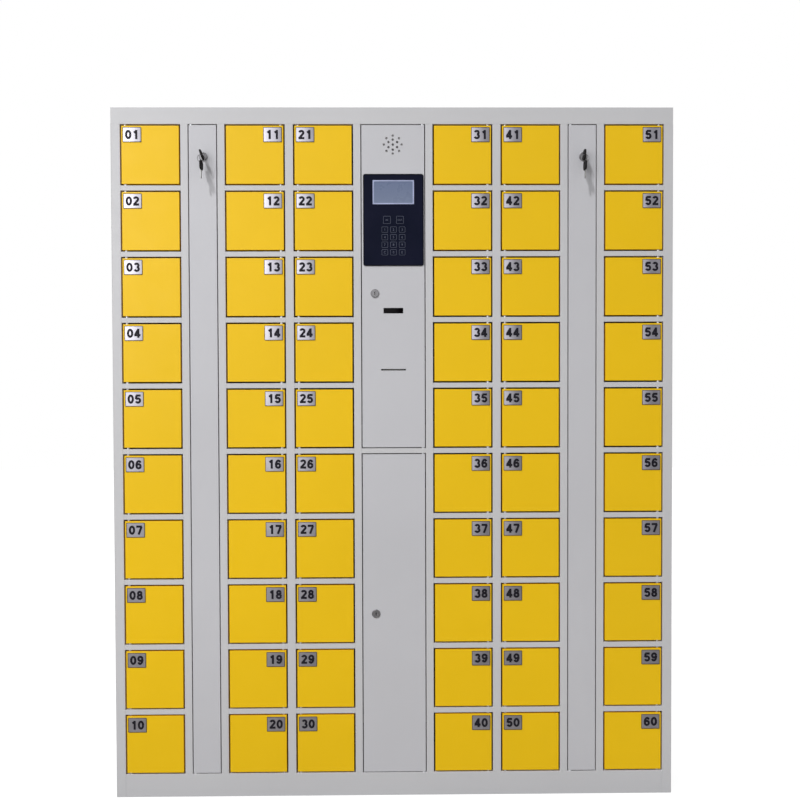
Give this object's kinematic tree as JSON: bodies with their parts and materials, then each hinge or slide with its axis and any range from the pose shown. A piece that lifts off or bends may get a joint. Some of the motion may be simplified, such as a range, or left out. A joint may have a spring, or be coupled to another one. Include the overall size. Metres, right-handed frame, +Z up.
{
  "type": "electronic phone locker",
  "caption": "Floor-standing sheet-steel phone locker with numbered small doors, service doors, a control door with screen and keypad, electric locks and keyed cam locks.",
  "frame": {"origin": "middle of the footprint's bounding box, on the floor", "axes": "+Z up, front towards -Y, +X to the right seen from the front"},
  "size_m": [1.46, 0.2866, 1.8],
  "materials": {
    "steel_grey": "light grey powder coat, fine texture",
    "door_grey": "light grey powder coat, fine texture",
    "door_yellow": "warm yellow powder coat, fine texture",
    "zinc": "zinc plated, dull",
    "nickel": "nickel plated, satin",
    "black_plastic": "black, matt",
    "panel_plastic": "dark navy acrylic, satin gloss",
    "lcd": "grey-blue display",
    "board": "green circuit board",
    "duct_plastic": "grey, matt",
    "paper": "white thermal paper"
  },
  "bodies": {
    "cabinet": {"side_panel_left": "steel_grey", "side_panel_right": "steel_grey", "top_cover": "steel_grey", "ceiling_panel": "steel_grey", "base_tray": "steel_grey", "kick_plate": "steel_grey", "rear_plinth": "steel_grey", "back_panel": "steel_grey", "front_posts": "steel_grey", "front_rails": "steel_grey", "partitions": "steel_grey", "shelves": "steel_grey", "hinge_pins": "zinc", "electric_locks": "zinc", "circuit_boards": "board", "board_standoffs": "zinc", "power_supply": "zinc", "cable_grommet": "black_plastic", "wiring_ducts": "duct_plastic"},
    "doors_01_10": {"doors_01_10": "door_yellow"},
    "doors_11_20": {"doors_11_20": "door_yellow"},
    "door_21": {"door_21": "door_yellow"},
    "door_22": {"door_22": "door_yellow"},
    "door_23": {"door_23": "door_yellow"},
    "door_24": {"door_24": "door_yellow"},
    "door_25": {"door_25": "door_yellow"},
    "door_26": {"door_26": "door_yellow"},
    "door_27": {"door_27": "door_yellow"},
    "door_28": {"door_28": "door_yellow"},
    "door_29": {"door_29": "door_yellow"},
    "door_30": {"door_30": "door_yellow"},
    "doors_31_40": {"doors_31_40": "door_yellow"},
    "doors_41_50": {"doors_41_50": "door_yellow"},
    "doors_51_60": {"doors_51_60": "door_yellow"},
    "service_door_left": {"service_door_left": "door_grey", "lock_service_left": "nickel"},
    "plug_service_left": {"plug_service_left": "nickel", "key_left": "black_plastic"},
    "key_ring_left": {"key_ring_left": "nickel"},
    "spare_key_left": {"spare_key_left": "black_plastic"},
    "service_door_right": {"service_door_right": "door_grey", "lock_service_right": "nickel"},
    "plug_service_right": {"plug_service_right": "nickel", "key_right": "black_plastic"},
    "key_ring_right": {"key_ring_right": "nickel"},
    "spare_key_right": {"spare_key_right": "black_plastic"},
    "control_door": {"control_door": "door_grey", "lock_control": "nickel", "operator_panel": "panel_plastic", "panel_housing": "black_plastic", "lcd_module": "lcd", "keypad": "panel_plastic", "speaker": "black_plastic", "code_scanner": "black_plastic", "ticket_printer": "black_plastic"},
    "lower_door": {"lower_door": "door_grey", "lock_lower": "nickel"},
    "plug_control": {"plug_control": "nickel"},
    "plug_lower": {"plug_lower": "nickel"},
    "paper_roll": {"paper_roll": "paper"}
  },
  "joints": [
    {"name": "doors_01_10_swing", "type": "hinge", "parent": "cabinet", "child": "doors_01_10", "pos_m": [-0.694, -0.09875, 0.9085], "axis": [0, 0, -1], "range_deg": [0, 90]},
    {"name": "doors_11_20_swing", "type": "hinge", "parent": "cabinet", "child": "doors_11_20", "pos_m": [-0.292, -0.09875, 0.9085], "axis": [0, 0, 1], "range_deg": [0, 90]},
    {"name": "door_21_swing", "type": "hinge", "parent": "cabinet", "child": "door_21", "pos_m": [-0.247, -0.09875, 1.678], "axis": [0, 0, -1], "range_deg": [0, 90]},
    {"name": "door_22_swing", "type": "hinge", "parent": "cabinet", "child": "door_22", "pos_m": [-0.247, -0.09875, 1.507], "axis": [0, 0, -1], "range_deg": [0, 90]},
    {"name": "door_23_swing", "type": "hinge", "parent": "cabinet", "child": "door_23", "pos_m": [-0.247, -0.09875, 1.336], "axis": [0, 0, -1], "range_deg": [0, 90]},
    {"name": "door_24_swing", "type": "hinge", "parent": "cabinet", "child": "door_24", "pos_m": [-0.247, -0.09875, 1.165], "axis": [0, 0, -1], "range_deg": [0, 90]},
    {"name": "door_25_swing", "type": "hinge", "parent": "cabinet", "child": "door_25", "pos_m": [-0.247, -0.09875, 0.994], "axis": [0, 0, -1], "range_deg": [0, 90]},
    {"name": "door_26_swing", "type": "hinge", "parent": "cabinet", "child": "door_26", "pos_m": [-0.247, -0.09875, 0.823], "axis": [0, 0, -1], "range_deg": [0, 90]},
    {"name": "door_27_swing", "type": "hinge", "parent": "cabinet", "child": "door_27", "pos_m": [-0.247, -0.09875, 0.652], "axis": [0, 0, -1], "range_deg": [0, 90]},
    {"name": "door_28_swing", "type": "hinge", "parent": "cabinet", "child": "door_28", "pos_m": [-0.247, -0.09875, 0.481], "axis": [0, 0, -1], "range_deg": [0, 90]},
    {"name": "door_29_swing", "type": "hinge", "parent": "cabinet", "child": "door_29", "pos_m": [-0.247, -0.09875, 0.31], "axis": [0, 0, -1], "range_deg": [0, 90]},
    {"name": "door_30_swing", "type": "hinge", "parent": "cabinet", "child": "door_30", "pos_m": [-0.247, -0.09875, 0.139], "axis": [0, 0, -1], "range_deg": [0, 90]},
    {"name": "doors_31_40_swing", "type": "hinge", "parent": "cabinet", "child": "doors_31_40", "pos_m": [0.247, -0.09875, 0.9085], "axis": [0, 0, 1], "range_deg": [0, 90]},
    {"name": "doors_41_50_swing", "type": "hinge", "parent": "cabinet", "child": "doors_41_50", "pos_m": [0.292, -0.09875, 0.9085], "axis": [0, 0, -1], "range_deg": [0, 90]},
    {"name": "doors_51_60_swing", "type": "hinge", "parent": "cabinet", "child": "doors_51_60", "pos_m": [0.694, -0.09875, 0.9085], "axis": [0, 0, 1], "range_deg": [0, 90]},
    {"name": "service_door_left_swing", "type": "hinge", "parent": "cabinet", "child": "service_door_left", "pos_m": [-0.5235, -0.10175, 0.9085], "axis": [0, 0, -1], "range_deg": [0, 90]},
    {"name": "service_lock_left_turn", "type": "hinge", "parent": "service_door_left", "child": "plug_service_left", "pos_m": [-0.491, -0.10675, 1.673], "axis": [0, -1, 0], "range_deg": [0, 90]},
    {"name": "key_ring_left_swing", "type": "hinge", "parent": "plug_service_left", "child": "key_ring_left", "pos_m": [-0.491, -0.12925, 1.67271], "axis": [1, 0, 0], "range_deg": [-45, 6]},
    {"name": "spare_key_left_swing", "type": "hinge", "parent": "key_ring_left", "child": "spare_key_left", "pos_m": [-0.491, -0.12925, 1.65311], "axis": [1, 0, 0], "range_deg": [-20, 8]},
    {"name": "service_door_right_swing", "type": "hinge", "parent": "cabinet", "child": "service_door_right", "pos_m": [0.4625, -0.10175, 0.9085], "axis": [0, 0, -1], "range_deg": [0, 90]},
    {"name": "service_lock_right_turn", "type": "hinge", "parent": "service_door_right", "child": "plug_service_right", "pos_m": [0.495, -0.10675, 1.673], "axis": [0, -1, 0], "range_deg": [0, 90]},
    {"name": "key_ring_right_swing", "type": "hinge", "parent": "plug_service_right", "child": "key_ring_right", "pos_m": [0.495, -0.12925, 1.67191], "axis": [1, 0, 0], "range_deg": [-45, 6]},
    {"name": "spare_key_right_swing", "type": "hinge", "parent": "key_ring_right", "child": "spare_key_right", "pos_m": [0.495, -0.12925, 1.65231], "axis": [1, 0, 0], "range_deg": [-20, 8]},
    {"name": "control_door_swing", "type": "hinge", "parent": "cabinet", "child": "control_door", "pos_m": [0.0765, -0.10175, 1.336], "axis": [0, 0, 1], "range_deg": [0, 90]},
    {"name": "lower_door_swing", "type": "hinge", "parent": "cabinet", "child": "lower_door", "pos_m": [0.0765, -0.10175, 0.481], "axis": [0, 0, 1], "range_deg": [0, 90]},
    {"name": "control_lock_turn", "type": "hinge", "parent": "control_door", "child": "plug_control", "pos_m": [-0.048, -0.10675, 1.319], "axis": [0, -1, 0], "range_deg": [0, 90]},
    {"name": "lower_lock_turn", "type": "hinge", "parent": "lower_door", "child": "plug_lower", "pos_m": [-0.048, -0.10675, 0.481], "axis": [0, -1, 0], "range_deg": [0, 90]},
    {"name": "paper_roll_turn", "type": "hinge", "parent": "control_door", "child": "paper_roll", "pos_m": [0, -0.07275, 1.12], "axis": [1, 0, 0], "continuous": true}
  ]
}
